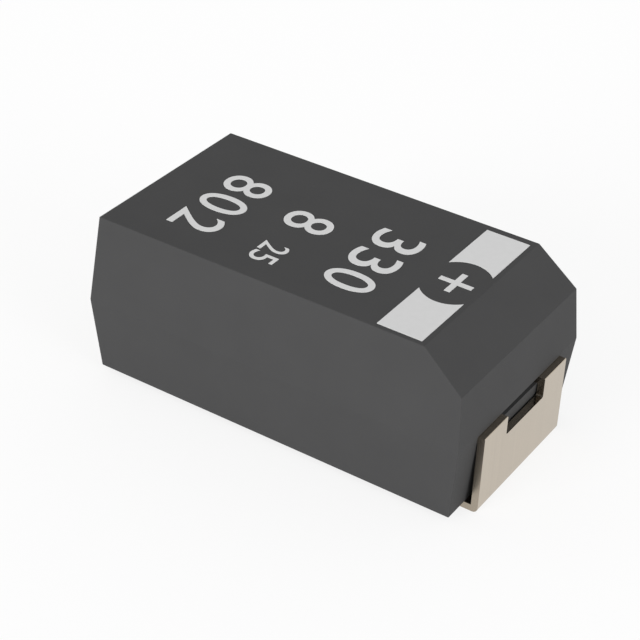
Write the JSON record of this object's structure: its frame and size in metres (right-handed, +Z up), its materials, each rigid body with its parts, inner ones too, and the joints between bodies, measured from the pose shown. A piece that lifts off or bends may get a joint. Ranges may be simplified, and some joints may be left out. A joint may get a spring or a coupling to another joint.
{
  "type": "tantalum chip capacitor",
  "caption": "Surface-mount tantalum capacitor: a drafted, bevelled moulded case on folded sheet terminals, with the sintered element, its coats, wire and washer inside.",
  "frame": {"origin": "on the board plane, under the middle of the part", "axes": "+X towards the anode (plus) end along the length, +Y across the width, +Z up from the board"},
  "size_m": [0.006, 0.0032, 0.0025],
  "materials": {
    "epoxy_moulding": "dark grey moulded epoxy, matt, very fine spark-eroded grain",
    "terminal_plating": "satin plated sheet, warm pale metal",
    "sintered_tantalum": "dark grey sintered powder, porous and matt",
    "tantalum_metal": "drawn wire, blue-grey metal",
    "fluoropolymer": "white waxy plastic",
    "conductive_polymer": "blue-black dipped polymer film",
    "carbon_layer": "matt black carbon dip",
    "silver_paint": "silver-filled paint, dull and slightly grainy",
    "silver_glue": "cured silver-filled adhesive, dull",
    "marking_ink": "thin matt ink of the printed marks, a slightly grey white"
  },
  "bodies": {
    "root": {"moulded_case": "epoxy_moulding", "anode_terminal": "terminal_plating", "cathode_terminal": "terminal_plating", "tantalum_pellet": "sintered_tantalum", "tantalum_wire": "tantalum_metal", "wire_washer": "fluoropolymer", "polymer_coat": "conductive_polymer", "carbon_coat": "carbon_layer", "silver_coat": "silver_paint", "silver_adhesive": "silver_glue"}
  },
  "joints": []
}
